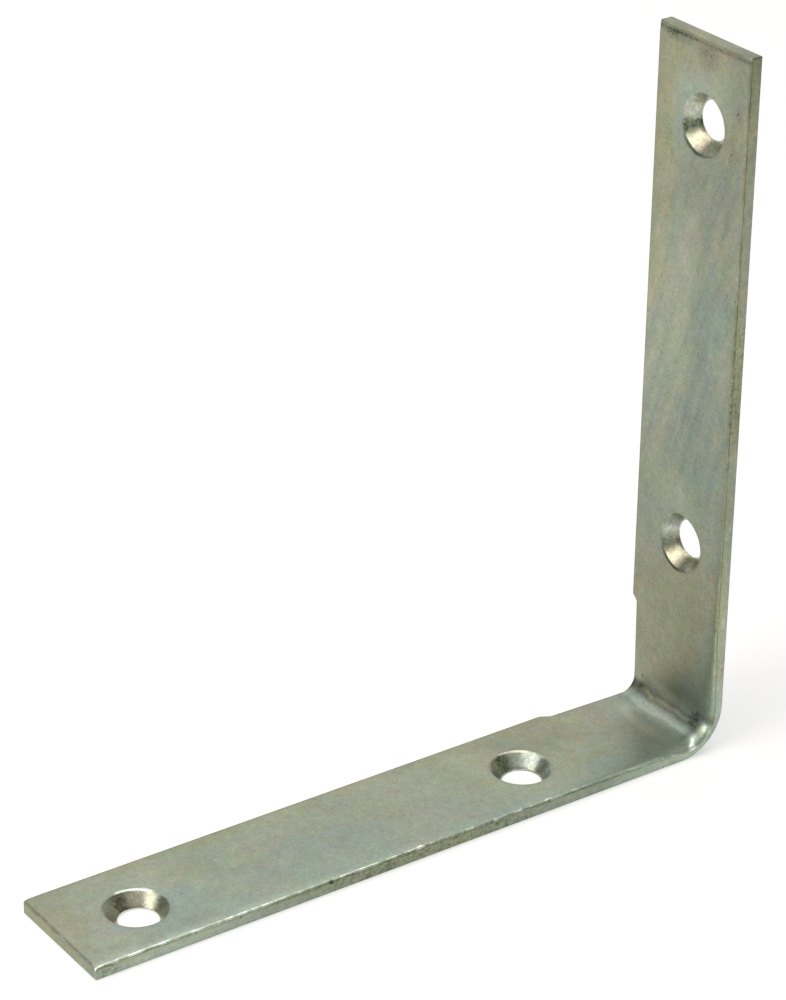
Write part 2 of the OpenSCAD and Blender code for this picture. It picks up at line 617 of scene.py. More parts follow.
        top = [e for e in outline if outer(e, 0.0)]
        rows = (0.13, 0.17, 0.21, 0.25, 0.3, 0.36, 0.42, 0.48, 0.56, 0.7)
        rows += (0.82, 0.95, 1.1, 1.25, 1.45, 1.65, 1.83)
        places = [-row * self.thickness / 2.0 for row in rows]
        self.spread(bm, top, 2, places)
        bottom = [e for e in bm.edges if e.is_boundary and outer(e, self.thickness)]
        bmesh.ops.bridge_loops(bm, edges=self.rim(bm, 2, places[-1]) + bottom)

    def break_edges(self, bm: bmesh.types.BMesh) -> None:
        """Takes the sharpness off the corners of the blank and off its mounting-face outline."""
        bmesh.ops.recalc_face_normals(bm, faces=bm.faces)
        bm.normal_update()
        sharp = [
            e
            for e in bm.edges
            if e.is_manifold and e.calc_face_angle(0.0) > math.radians(60) and self.outlying(e)
        ]
        bmesh.ops.bevel(
            bm,
            geom=sharp,
            offset=0.1,
            offset_type="OFFSET",
            segments=3,
            profile=0.5,
            affect="EDGES",
            material=-1,
        )

    def outlying(self, edge: bmesh.types.BMEdge) -> bool:
        """Tells whether an edge lies on the outline of the blank."""
        mid = (edge.verts[0].co + edge.verts[1].co) / 2
        return (
            abs(mid.y) > self.width / 2 - 1e-3
            or mid.x < self.start + 1e-3
            or mid.x > self.end - 1e-3
        )

    def mark(self, bm: bmesh.types.BMesh) -> None:
        """Gives each face of the blank its finish."""
        half = self.width / 2
        for face in bm.faces:
            spot = face.calc_center_median()
            if (
                abs(spot.y) > half - 0.004
                or spot.x < self.start + 0.004
                or spot.x > self.end - 0.004
            ):
                face.material_index = Finish.SHEARED.value
                continue
            for hole in self.holes:
                away = math.hypot(spot.x - hole.along, spot.y - hole.across)
                if away < hole.radius + 2.3 and -self.thickness + 1e-3 < spot.z < -0.1:
                    face.material_index = Finish.BORED.value

    def wear_and_light(self, bm: bmesh.types.BMesh) -> None:
        """Writes down on every vertex how worn it is, what light and shade is painted on it, and where it lies on
        the blank.
        """
        lay = bm.verts.layers.float_vector.new("lay")
        # The wear layer holds stains, blues, grime with painted shade, and rubs with painted highlights; the tone
        # layer holds painted light and shade.
        wear = bm.verts.layers.float_color.new("wear")
        streak = bm.verts.layers.float.new("streak")
        tone_and_painted_light = bm.verts.layers.float.new("tone_and_painted_light")
        spots = {leg: self.wear.on(leg) for leg in Leg}
        for v in bm.verts:
            along, across, depth = v.co.x, v.co.y, -v.co.z
            v[lay] = v.co
            if depth > self.thickness - 0.01:
                continue
            leg = Leg.BASE if along < self.arc / 2 else Leg.UPRIGHT
            out = self.corner_distance(along)
            marks = [sum(spot.read(out, across) for spot in kind) for kind in spots[leg]]
            marks[3] *= smooth((0.3 - depth) / 0.15)
            if depth < 1.0:
                self.fold_light_and_stain(marks, along, across)
            self.edge_wear_and_light(marks, leg, along, across, depth)
            self.hole_stains_and_light(marks, along, across, depth)
            v[tone_and_painted_light] = marks.pop()
            v[wear] = [min(mark, 1.5) for mark in marks]
            if leg is Leg.UPRIGHT:
                v[streak] = 0.35 + 0.65 * smooth((out - 32.0) / 12.0) * smooth((92.0 - out) / 14.0)

    def fold_light_and_stain(self, marks: list[float], along: float, across: float) -> None:
        """Paints the light and shade round the fold: painted shade over its upper part and far corner, a painted
        highlight band on the round and painted highlights at its near end, with a brown stain along the little
        ridge.

        Args:
            marks: the stain, blue, grime with painted shade, rub with painted highlights, and painted light and
                shade so far.
            along: the place along the blank.
            across: the place across it.
        """
        turn = (along + self.fold_swell) / (self.arc + 2 * self.fold_swell)
        wave = 0.03 * noise.noise(Vector((across * 0.7, 1.1, 0.0)))
        ridge = abs(turn - self.ridge(across))
        ends = 0.7 + 0.3 * smooth((abs(across - 0.5) - 3.5) / 3.5)
        late = 1.0 - 0.3 * smooth((across - 5.0) / 1.5)
        slim = 0.04 - 0.07 * smooth(1.2 - abs(across - 2.0) / 3.5)
        rise = smooth((turn + wave + slim - 0.4) / 0.16)
        dark = ends * rise * smooth((0.98 * late - turn) / 0.2)
        line = smooth(1.0 - abs(turn - self.ridge(across) - 0.12) / 0.06)
        crest = smooth(1.0 - ridge / 0.09) * smooth((6.6 - across) / 2.5)
        marks[0] += 1.1 * smooth(1.0 - ridge / 0.1)
        inward = smooth((across + 8.2) / 1.5)
        far_corner = smooth((across - 4.0) / 2.0) * smooth(1.2 - abs(turn - 0.62) / 0.16)
        foot = smooth((0.21 + slim - turn - wave) / 0.03) * smooth((turn - 0.02) / 0.1)
        band = smooth((turn + wave - slim - 0.2) / 0.03)
        band *= smooth((0.42 - slim - turn - wave) / 0.1) * smooth((across + 7.6) / 3.0)
        # Painted shade over the upper part of the fold and its far corner, a painted highlight on the crest and
        # painted shade just past it.
        marks[2] += 0.12 * dark
        marks[4] += 0.13 * crest - 0.24 * dark - 0.12 * line - 0.55 * far_corner
        # A painted highlight band low on the round, with painted shade at its foot.
        marks[4] += inward * (0.16 * band - 0.16 * foot)
        # Painted shade partway up the round, towards the plain edge.
        early = smooth((-2.5 - across) / 1.5)
        marks[4] -= 0.11 * early * smooth(1.2 - abs(turn - 0.46) / 0.13)
        # Painted highlights at the fold's near end, with painted shade beside and above them.
        corner = smooth((-7.4 - across) / 1.0)
        beside = smooth(1.0 - abs(across + 7.0) / 0.9)
        rub_and_highlight = 0.35 - 0.2 * smooth((-7.4 - across) / 1.4)
        marks[4] -= 0.34 * beside * smooth(1.3 - abs(turn - 0.34) / 0.3)
        marks[4] += 0.3 * corner * smooth(1.0 - abs(turn - 0.48) / 0.1)
        marks[4] += 1.0 * corner * smooth(1.2 - abs(turn - rub_and_highlight) / 0.12)
        marks[4] += 1.1 * corner * smooth(1.1 - abs(turn - 0.63) / 0.14)
        marks[4] -= 0.25 * smooth((-6.0 - across) / 1.0) * smooth(1.0 - abs(turn - 0.82) / 0.2)
        marks[3] += 0.7 * corner * smooth(1.0 - abs(turn - rub_and_highlight) / 0.1)

    def edge_wear_and_light(
        self, marks: list[float], leg: Leg, along: float, across: float, depth: float
    ) -> None:
        """Adds the wear along the blank's outline, with painted highlights along its edges and painted shade on the
        upright's end face and in the crease.

        Args:
            marks: the stain, blue, grime with painted shade, rub with painted highlights, and painted light and
                shade so far.
            leg: the leg it is on.
            along: the place along the blank.
            across: the place across it.
            depth: the place's depth.
        """
        edge = across + self.width / 2
        if leg is Leg.BASE:
            # Painted highlight along the rounded top of the base's plain edge.
            arris = smooth((0.33 - edge) / 0.12) * smooth((0.18 - depth) / 0.06)
            marks[3] += arris * (0.25 + 0.2 * smooth((self.corner_distance(along) - 22.0) / 12.0))
            marks[4] += 0.4 * arris * smooth((self.corner_distance(along) - 3.0) / 10.0)
            end = along - self.start
            # Painted highlight along the top of the base's end.
            marks[3] += 0.35 * smooth((0.3 - end) / 0.15) * smooth((0.16 - depth) / 0.06)
        else:
            end = self.end - along
            # Painted highlight along the upright's plain edge.
            marks[3] += 0.15 * smooth((0.5 - edge) / 0.4)
            lip = smooth((0.16 - depth) / 0.1)
            seam = smooth(1.3 - abs(end - 0.62) / 0.3) * lip
            thick = 0.8 + 1.1 * noise.noise(Vector((across * 0.35, 4.4, 7.0)))
            marks[2] += 0.42 * seam * thick
            marks[4] -= 0.28 * seam * thick
            # Painted shade on the upright's end face, below its lip.
            marks[4] -= 0.36 * smooth((0.3 - end) / 0.1) * (1.0 - lip)
            dash = smooth((noise.noise(Vector((along * 0.35, 1.9, 2.0))) + 0.1) / 0.35)
            arris = smooth((0.26 - edge) / 0.1) * smooth((0.3 - depth) / 0.1)
            marks[0] += 1.5 * arris * dash
            marks[4] -= 0.1 * arris * dash
        far = smooth((0.42 - (self.width - edge)) / 0.25)
        marks[0] += 0.9 * far
        marks[4] -= 0.12 * far
        wall = edge < 0.3 or along < self.start + 0.3 or along > self.end - 0.3
        if wall and depth > 0.12:
            marks[0] += 0.8 * smooth((1.2 - depth) / 0.7)
        if wall and edge < 0.3:
            # Painted shade in the crease under the top of the plain edge.
            crease = smooth(1.0 - abs(depth - 0.2) / 0.12)
            marks[4] -= 0.22 * crease * smooth((30.0 - self.corner_distance(along)) / 6.0)
            for nick in self.nicks:
                if nick.leg is leg:
                    marks[2] += 3.0 * nick.read(self.corner_distance(along), depth)

    def hole_stains_and_light(
        self, marks: list[float], along: float, across: float, depth: float
    ) -> None:
        """Adds the wear in and round the screw holes.

        Args:
            marks: the stain, blue, grime with painted shade, rub with painted highlights, and painted light and
                shade so far.
            along: the place along the blank.
            across: the place across it.
            depth: the place's depth.
        """
        for hole in self.holes:
            if abs(along - hole.along) > 7.0:
                continue
            x, y = along - hole.along, across - hole.across
            turn = math.degrees(math.atan2(y, x))
            lean = hole.shift(depth, self.thickness)
            away = math.hypot(x - lean.x, y - lean.y) - hole.mouth(self.thickness)
            # On the wall: painted shade with a grimy tint where soot says, and a painted highlight where sheen
            # says, which also clears the stain there.
            if away < 0.3:
                inside = smooth((0.2 - away) / 0.3)
                soot_and_shade = inside * hole.sector(hole.soot_and_shade, turn)
                sheen = inside * hole.sector(hole.sheen, turn)
                warm = hole.sector(hole.tint, turn) - 0.6 * sheen
                marks[0] += (max(warm, 0.0) - marks[0]) * smooth(-away / 0.3)
                marks[1] += (max(-warm, 0.0) - marks[1]) * smooth(-away / 0.3)
                marks[2] += 0.6 * soot_and_shade
                marks[4] += sheen - 0.35 * soot_and_shade
            # Painted highlight on the lip where gleam says, painted shade along it where dull says, and a faint
            # lighter ring round the hole.
            lip = smooth(1.6 - abs(away - 0.08) / 0.16)
            marks[3] += hole.sector(hole.gleam, turn) * lip
            marks[4] -= hole.sector(hole.lip_shade, turn) * lip
            marks[4] += 0.07 * smooth(1.0 - abs(away - 1.1) / 0.9)

    def form(self, bm: bmesh.types.BMesh) -> None:
        """Rolls the plain edge and the ends over and cuts the relief, still flat."""
        half = self.width / 2
        for v in bm.verts:
            along, across, depth = v.co.x, v.co.y, -v.co.z
            upper = 1.0 - smooth(depth / 1.1)
            drop = self.roll(along, across) + self.end_roll(along) + self.far_roll(across)
            v.co.z += (self.crinkle(along, across) - drop) * upper
            ease = smooth((across - 5.0) / (half - 0.5 - 5.0))
            v.co.y -= self.relief(along) * ease
            self.crease(v, along, across, depth)

    def ridge(self, across: float) -> float:
        """Where the little ridge lies round the fold, as a share of its turn."""
        wander = 0.05 * noise.noise(Vector((across * 0.6, 6.0, 2.0)))
        return 0.54 + wander + 0.02 * noise.noise(Vector((across * 2.1, 8.0, 3.0)))

    def crinkle(self, along: float, across: float) -> float:
        """How far the inner face stands up in the little ridge that folding has pushed up."""
        if not -3.0 < along < 7.0:
            return 0.0
        turn = (along + self.fold_swell) / (self.arc + 2 * self.fold_swell)
        tall = 0.09 * smooth((6.6 - across) / 2.5) * smooth((across + 7.6) / 2.5)
        return tall * smooth(1.0 - abs(turn - self.ridge(across)) / 0.1)

    def crease(self, v: bmesh.types.BMVert, along: float, across: float, depth: float) -> None:
        """Draws the wall in along the line where the shear left off.

        Args:
            v: the vertex to move.
            along: its place along the flat blank.
            across: its place across it.
            depth: its depth below the inner face.
        """
        mean, width, pull = 0.19, 0.09, 0.06
        near = across < -self.width / 2 + 0.01
        first, last = along < self.start + 0.01, along > self.end - 0.01
        if not (near or first or last):
            return
        if near:
            leg = Leg.BASE if along < self.arc / 2 else Leg.UPRIGHT
            out = self.corner_distance(along)
            v.co.y += sum(n.read(out, depth) for n in self.nicks if n.leg is leg)
            wave = noise.noise(Vector((along * 0.12, 9.1, 0.0)))
            wave += 0.6 * noise.noise(Vector((along * 0.9, 4.1, 0.0)))
            v.co.y += 0.05 * min(max(0.35 + wave, 0.0), 1.0) * (1.0 - smooth(depth / 1.4))
        if first:
            mean = 0.3
        course = along if near else across + 40.0
        mean += 0.05 * noise.noise(Vector((course * 0.45, 2.2, 4.0)))
        gap = (depth - mean) / width
        if abs(gap) >= 1.0:
            return
        wear = 0.65 + 0.9 * noise.noise(Vector((course * 0.8, 5.5, 1.0)))
        pull *= (1.0 - gap * gap) * min(max(wear, 0.1), 1.3)
        if near:
            v.co.y += pull
        if first:
            v.co.x += pull
        if last:
            v.co.x -= pull

    def fold(self, place: Vector) -> Vector:
        """Folds one place of the blank.

        Args:
            place: (along, across, -depth) on the flat blank.

        Returns:
            The place in the row frame's axes, in millimetres from the outer corner.
        """
        along, across, depth = place.x, place.y, -place.z
        reach, arc = self.fold_reach, self.arc
        radius = self.inner_radius + self.fold_swell * smooth((7.9 - across) / 2.8)
        spare = radius - self.inner_radius
        turn = min(max((along + spare) / (arc + 2 * spare), 0.0), 1.0) * math.pi / 2
        centre = reach + spare
        inner = Vector((centre - radius * math.sin(turn), centre - radius * math.cos(turn)))
        inner += Vector((max(-along - spare, 0.0), max(along - arc - spare, 0.0)))
        lead = self.outer_radius - reach
        wide = min(max((along + lead) / (arc + 2 * lead), 0.0), 1.0) * math.pi / 2
        big = self.outer_radius
        outer = Vector((big - big * math.sin(wide), big - big * math.cos(wide)))
        outer += Vector((max(-along - lead, 0.0), max(along - arc - lead, 0.0)))
        t = depth / self.thickness
        spot = inner * (1.0 - t) + outer * t
        return Vector((-spot.x, across, spot.y))

    def build(self) -> bmesh.types.BMesh:
        """Makes the whole strip.

        Returns:
            The folded strip in metres, with its outer corner at the origin.
        """
        bm = bmesh.new()
        self.lay_face(bm, mounting=False)
        self.lay_face(bm, mounting=True)
        bmesh.ops.remove_doubles(bm, verts=bm.verts, dist=1e-4)
        self.wall(bm)
        self.break_edges(bm)
        self.mark(bm)
        self.wear_and_light(bm)
        self.form(bm)
        for v in bm.verts:
            v.co = self.fold(v.co) * MM
        bmesh.ops.recalc_face_normals(bm, faces=bm.faces)
        return bm


@dataclass
class Brace:
    """The corner brace as one piece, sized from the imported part."""

    name: str = "brace_strip"

    def blank(self, frame: dict) -> Blank:
        """Reads the strip's sizes and holes from the frame.


        Returns:
            The blank to fold.
        """
        low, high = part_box(NODE)
        mounts = {m["name"]: m for m in frame["record"]["mounts"]}
        base, upright = mounts["base_screws"], mounts["upright_screws"]
        blank = Blank(
            base_leg=(high.x - low.x) / MM,
            upright_leg=(high.z - low.z) / MM,
            width=(high.y - low.y) / MM,
            thickness=2.0,
            holes=[],
        )
        base_middle = high.x / MM - base["pos_m"][0] / MM
        upright_middle = upright["pos_m"][2] / MM
        for middle, mount, leg in (
            (base_middle, base, Leg.BASE),
            (upright_middle, upright, Leg.UPRIGHT),
        ):
            dims = mount["dims"]
            spacing = dims.get("spacing_x_mm") or dims.get("spacing_y_mm")
            for outer in (True, False):
                out = middle + (spacing / 2 if outer else -spacing / 2)
                hole = Hole(
                    blank.place(leg, out),
                    mount["pos_m"][1] / MM,
                    dims["hole_r_mm"],
                    **self.hole_marks(leg, outer),
                )
                blank.holes.append(hole)
        blank.holes.sort(key=lambda h: h.along)
        return blank

    @staticmethod
    def hole_marks(leg: Leg, outer: bool) -> dict[str, object]:
        """Tells how one hole came out of the punch, how its wall is stained, and where painted shade and highlights
        fall on its wall and lip.

        Args:
            leg: the leg it is in.
            outer: true for the hole near the free end.

        Returns:
            The fields of Hole that say so.
        """
        if leg is Leg.BASE:
            return {
                "lean": (-0.17, 0.2) if outer else (0.08, 0.24),
                "breakout": 0.3 if outer else 0.0,
                "soot_and_shade": ((102.0, 30.0, 0.75), (-8.0, 30.0, 0.35)),
                "gleam": ((68.0, 46.0, 1.2),) if outer else ((72.0, 62.0, 0.8),),
                "sheen": ((50.0, 34.0, 0.12) if outer else (38.0, 26.0, 0.3),),
                "lip": 0.5 if outer else 0.7,
                "tint": ((0.0, 720.0, 0.5 if outer else -0.5),),
                "lip_shade": ((134.0, 34.0, 0.25 if outer else 0.0),),
            }
        return {
            "lean": (-0.3 if outer else -0.22, 0.2),
            "soot_and_shade": ((112.0, 22.0, 0.85 if outer else 0.5), (186.0, 26.0, 0.4)),
            "sheen": ((60.0, 44.0, 0.14 if outer else 0.4), (146.0, 24.0, 0.05)),
            "tint": ((152.0, 48.0, 0.9), (62.0, 50.0, -0.2)),
            "lip_shade": ((152.0, 42.0, 0.75),),
        }

    def make(self, frame: dict) -> bpy.types.Object:
        """Builds the strip and puts it in the place of the CAD node.


        Returns:
            The finished piece.
        """
        blank = self.blank(frame)
        bm = blank.build()
        corner = Vector((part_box(NODE)[1].x, 0.0, 0.0))
        bmesh.ops.translate(bm, verts=bm.verts, vec=corner)
        for face in bm.faces:
            face.smooth = True
        mesh = bpy.data.meshes.new(self.name)
        bm.to_mesh(mesh)
        bm.free()
        piece = bpy.data.objects.new(self.name, mesh)
        bpy.context.scene.collection.objects.link(piece)
        mesh.set_sharp_from_angle(angle=math.radians(38))
        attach(piece, BODY)
        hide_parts(NODE)
        log.info("%s: %d vertices, %d faces", piece.name, len(mesh.vertices), len(mesh.polygons))
        return piece


@dataclass(frozen=True)
class Zinc:
    """Zinc plate on steel. Colours are linear, and lengths are in millimetres.

    Each lump is (size, brightness swing, hue swing) of one pattern in the colour.
    """

    name: str = "zinc_rolled"
    colour: tuple[float, float, float] = (0.3, 0.328, 0.253)
    roughness: float = 0.44
    metal: float = 0.8
    # How much smoother the rubbed edges and painted highlights are.
    rubbed_and_highlit: float = -0.18
    swing: float = 0.1
    lumps: tuple[tuple[float, float, float], ...] = (
        (0.3, 0.46, 0.08),
        (0.7, 0.31, 0.1),
        (1.8, 0.16, 0.15),
        (4.5, 0.15, 0.11),
        (13.0, 0.26, 0.11),
    )
    brown: tuple[float, float, float] = (1.0, 0.95, 0.84)
    blue: tuple[float, float, float] = (0.93, 1.0, 1.07)
    # Gains for the grime mark and its painted shade, for the rubs and their painted highlights, and for the tone
    # layer's painted light and shade.
    dirt_and_shade: tuple[float, float, float] = (0.36, 0.37, 0.32)
    rub_and_highlight: tuple[float, float, float] = (1.9, 1.9, 2.15)
    shade: tuple[float, float, float] = (2.0, 2.0, 2.0)
    dent: float = 0.01
    dent_size: float = 0.9

    def material(self) -> bpy.types.Material:
        """Makes the finish.

        Returns:
            The material.
        """
        material = bpy.data.materials.new(self.name)
        material.use_nodes = True
        bench = Bench(material.node_tree)
        shader = material.node_tree.nodes["Principled BSDF"]
        place = bench.attribute("lay")["Vector"]
        colour = self.colour
        for i, (size, level, hue) in enumerate(self.lumps):
            colour = bench.mottle(place, colour, size, level, hue, i + 1.0)
        wear = bench.attribute("wear")
        rub_and_highlight_mask = wear["Alpha"]
        marks = bench.add("ShaderNodeSeparateColor")
        bench.link(wear["Color"], marks.inputs[0])
        stain, blue, grime_and_shade = marks.outputs
        colour = bench.wash(colour, bench.patchy(place, stain, 2.2, 20.0), self.brown)
        colour = bench.wash(colour, bench.patchy(place, blue, 3.5, 30.0), self.blue)
        # The grime mark darkens by the dirt colour, and also carries the painted shade in the fold and on the
        # countersink walls.
        colour = bench.wash(colour, bench.patchy(place, grime_and_shade, 0.45, 40.0, 0.4), self.dirt_and_shade)
        # The rub mark paints highlights on edges, lips and the fold, and rubs edges shiny.
        rubbed_and_highlit = bench.patchy(place, rub_and_highlight_mask, 1.3, 50.0)
        colour = bench.wash(colour, rubbed_and_highlit, self.rub_and_highlight)
        # Painted light and shade from the tone layer.
        colour = bench.wash(colour, bench.attribute("tone_and_painted_light")["Fac"], self.shade)
        colour = self.trim(bench, place, colour)
        bench.link(colour, shader.inputs["Base Color"])
        shader.inputs["Metallic"].default_value = self.metal
        cloud = bench.noise(place, (1.6, 1.6, 1.6), 60.0)
        rough = bench.math("MULTIPLY_ADD", cloud, self.swing, self.roughness - self.swing / 2)
        rough = bench.math("MULTIPLY_ADD", rubbed_and_highlit, self.rubbed_and_highlit, rough)
        bench.link(rough, shader.inputs["Roughness"])
        bench.bump(shader, self.relief(bench, place), self.dent)
        return material

    def trim(self, bench: "Bench", place: object, colour: object) -> object:
        """Adds the finish's own marks to its colour."""
        ribbon = bench.noise(place, (13.0, 1.5, 4.0), 70.0, -17.0)
        wisp = bench.noise(place, (5.0, 0.7, 2.0), 80.0, -17.0)
        both = bench.math("MULTIPLY_ADD", wisp, 0.32, ribbon)
        centred = bench.math("SUBTRACT", both, 0.66)
        amount = bench.math("MULTIPLY", centred, bench.attribute("streak")["Fac"])
        colour = bench.wash(colour, amount, (1.56, 1.34, 1.2))
        grit = bench.math("SUBTRACT", bench.noise(place, (0.22, 0.22, 0.22), 75.0), 0.5)
        upright = bench.math("GREATER_THAN", bench.attribute("streak")["Fac"], 0.1)
        colour = bench.wash(colour, bench.math("MULTIPLY", grit, upright), (1.35, 1.35, 1.35))
        speck = bench.noise(place, (0.5, 0.5, 0.5), 77.0)
        speck = bench.math("MAXIMUM", bench.math("MULTIPLY_ADD", speck, 9.0, -6.3), 0.0)
        return bench.wash(colour, bench.math("MINIMUM", speck, 1.0), (0.68, 0.66, 0.6))

    def relief(self, bench: "Bench", place: object) -> object:
        """Gives the height of the surface, from 0 to 1."""
        return bench.noise(place, (self.dent_size,) * 3, 90.0)


@dataclass(frozen=True)
class Sheared(Zinc):
    """The plated steel on the sheared edges: streaked along, with a dark line at each corner; the top one is
    painted shade in the crease, tinted brown.
    """

    name: str = "zinc_sheared"
    colour: tuple[float, float, float] = (0.329, 0.359, 0.27)
    brown: tuple[float, float, float] = (1.0, 0.96, 0.8)
    lumps: tuple[tuple[float, float, float], ...] = (
        (0.3, 0.45, 0.1),
        (0.8, 0.3, 0.1),
        (3.0, 0.2, 0.1),
        (12.0, 0.25, 0.06),
    )
    line_depth: float = 0.19
    line_width: float = 0.09
    dent: float = 0.016
    dent_size: float = 0.5

    def trim(self, bench: "Bench", place: object, colour: object) -> object:
        """Adds the finish's own marks to its colour."""
        grain = bench.noise(place, (5.0, 5.0, 0.16), 70.0)
        colour = bench.wash(colour, bench.math("SUBTRACT", grain, 0.5), (1.5, 1.5, 1.5))
        depth = bench.depth(place)
        # Painted shade in the crease under the top corner, tinted brown.
        line = bench.band(depth, self.line_depth, self.line_width)
        line = bench.patchy(place, line, 1.1, 80.0, 0.3)
        colour = bench.wash(colour, line, (0.5, 0.43, 0.34))
        foot = bench.patchy(place, bench.band(depth, 1.95, 0.16), 0.8, 85.0, 0.25)
        return bench.wash(colour, foot, (0.62, 0.6, 0.52))

    def relief(self, bench: "Bench", place: object) -> object:
        """Gives the height of the surface, from 0 to 1."""
        return bench.noise(place, (4.0, 4.0, 0.2), 90.0)


@dataclass(frozen=True)
class Bored(Zinc):
    """The plated steel in the countersinks: smoother, warm, and patchy where plating is thin."""

    name: str = "zinc_bored"
    colour: tuple[float, float, float] = (0.385, 0.412, 0.31)
    brown: tuple[float, float, float] = (1.13, 0.98, 0.92)
    blue: tuple[float, float, float] = (0.94, 1.0, 1.2)
    shade: tuple[float, float, float] = (2.2, 2.05, 2.4)
    roughness: float = 0.31
    rubbed_and_highlit: float = 0.0
    lumps: tuple[tuple[float, float, float], ...] = (
        (0.25, 0.9, 0.16),
        (0.6, 0.7, 0.14),
        (2.0, 0.35, 0.1),
    )
    dent: float = 0.012
    dent_size: float = 0.7

    def trim(self, bench: "Bench", place: object, colour: object) -> object:
        """Adds the finish's own marks to its colour."""
        rings = bench.noise(place, (3.0, 3.0, 0.1), 70.0)
        return bench.wash(colour, bench.math("SUBTRACT", rings, 0.5), (1.3, 1.3, 1.3))


class Bench:
    """A node tree to wire a finish on."""

    def __init__(self, tree: bpy.types.NodeTree, clear: bool = False) -> None:
        """Takes a tree, and empties it if asked."""
        self.tree = tree
        if clear:
            tree.nodes.clear()

    def add(self, kind: str) -> bpy.types.Node:
        """Adds a node."""
        return self.tree.nodes.new(kind)

    def link(self, start: bpy.types.NodeSocket, end: bpy.types.NodeSocket) -> None:
        """Joins two sockets."""
        self.tree.links.new(start, end)

    def attribute(self, name: str) -> dict[str, bpy.types.NodeSocket]:
        """Reads one of the piece's own layers, as its outputs by name."""
        node = self.add("ShaderNodeAttribute")
        node.attribute_name = name
        return {socket.name: socket for socket in node.outputs}

    def noise(
        self,
        place: object,
        lump: tuple[float, float, float],
        shift: float,
        turn: float = 0.0,
        hue: bool = False,
    ) -> object:
        """Adds a noise pattern.

        Args:
            place: the coordinates it reads.
            lump: the size of its lumps along each axis.
            shift: where it starts, which tells it from the others.
            turn: how far it is turned about the third axis, in degrees.
            hue: true for three patterns in one, as a colour.

        Returns:
            Its value, around 0.5.
        """
        mapping = self.add("ShaderNodeMapping")
        mapping.vector_type = "TEXTURE"
        mapping.inputs["Location"].default_value = (shift * 3.7, shift * 1.3, shift * 0.9)
        mapping.inputs["Rotation"].default_value = (0.0, 0.0, math.radians(turn))
        mapping.inputs["Scale"].default_value = lump
        self.link(place, mapping.inputs["Vector"])
        texture = self.add("ShaderNodeTexNoise")
        texture.inputs["Scale"].default_value = 1.0
        texture.inputs["Detail"].default_value = 1.0
        self.link(mapping.outputs[0], texture.inputs["Vector"])
        return texture.outputs["Color" if hue else "Fac"]

    def math(self, kind: str, first: object, second: object = 0.0, third: object = 0.0) -> object:
        """Adds a sum on numbers or sockets.

        Args:
            kind: the operation.
            first: its first input.
            second: its second input.
            third: its third input.

        Returns:
            The result's socket.
        """
        node = self.add("ShaderNodeMath")
        node.operation = kind
        for slot, value in zip(node.inputs, (first, second, third)):
            if isinstance(value, bpy.types.NodeSocket):
                self.link(value, slot)
            else:
                slot.default_value = value
        return node.outputs[0]

    def vector(self, kind: str, first: object, second: object, third: object = None) -> object:
        """Adds a sum on vectors.

        Args:
            kind: the operation.
            first: its first input, a socket or three numbers.
            second: its second input.
            third: its third input.

        Returns:
            The result's socket.
        """
        node = self.add("ShaderNodeVectorMath")
        node.operation = kind
        for slot, value in zip(node.inputs, (first, second, third)):
            if isinstance(value, bpy.types.NodeSocket):
                self.link(value, slot)
            elif value is not None:
                slot.default_value = value
        return node.outputs[0]

    def mottle(
        self, place: object, colour: object, size: float, level: float, hue: float, shift: float
    ) -> object:
        """Breaks up a colour.

        Args:
            place: the coordinates the pattern reads.
            colour: the colour to break up.
            size: the size of the pattern's lumps.
            level: how far the brightness swings, as a share.
            hue: how far the three parts of the colour swing apart, as a share.
            shift: where the pattern starts.

        Returns:
            The colour's socket.
        """
        lump = (size, size, size)
        tones_and_painted_light = self.noise(place, lump, shift + 0.5, hue=True)
        rest = 1.0 - (level + hue) / 2
        gain = self.vector("MULTIPLY_ADD", tones_and_painted_light, (hue, hue, hue), (rest, rest, rest))
        brightness = self.math("MULTIPLY", self.noise(place, lump, shift), level)
        return self.vector("MULTIPLY", colour, self.vector("ADD", gain, brightness))

    def wash(self, colour: object, amount: object, gain: tuple[float, float, float]) -> object:
        """Multiplies a colour by a gain, as far as an amount says."""
        swing = tuple(part - 1.0 for part in gain)
        return self.vector(
            "MULTIPLY", colour, self.vector("MULTIPLY_ADD", amount, swing, (1.0, 1.0, 1.0))
        )

    def patchy(
        self, place: object, amount: object, size: float, shift: float, soft: float = 0.3
    ) -> object:
        """Breaks a mark into patches.

        Args:
            place: the coordinates the pattern reads.
            amount: how strong the mark is.
            size: the size of the patches.
            shift: where the pattern starts.
            soft: how softly the patches end.

        Returns:
            The mark's strength, full where it was strong and patchy where it was weak.
        """
        noise = self.noise(place, (size, size, size), shift)
        level = self.math("ADD", amount, self.math("MULTIPLY_ADD", noise, 1.6, -0.8))
        step = self.add("ShaderNodeMapRange")
        step.interpolation_type = "SMOOTHSTEP"
        step.inputs["From Min"].default_value = 0.5 - soft
        step.inputs["From Max"].default_value = 0.5 + soft
        self.link(level, step.inputs["Value"])
        return self.math("MULTIPLY", step.outputs[0], self.math("MINIMUM", self.math("MULTIPLY", amount, 2.5), 1.0))

    def depth(self, place: object) -> object:
        """Reads how deep a place lies below the inner face."""
        parts = self.add("ShaderNodeSeparateXYZ")
        self.link(place, parts.inputs[0])
        return self.math("MULTIPLY", parts.outputs["Z"], -1.0)

    def band(self, value: object, middle: float, width: float) -> object:
        """Makes a soft band, 1 in its middle and 0 past its half-width."""
        away = self.math("ABSOLUTE", self.math("SUBTRACT", value, middle))
        return self.math("MAXIMUM", self.math("MULTIPLY_ADD", away, -1.0 / width, 1.0), 0.0)

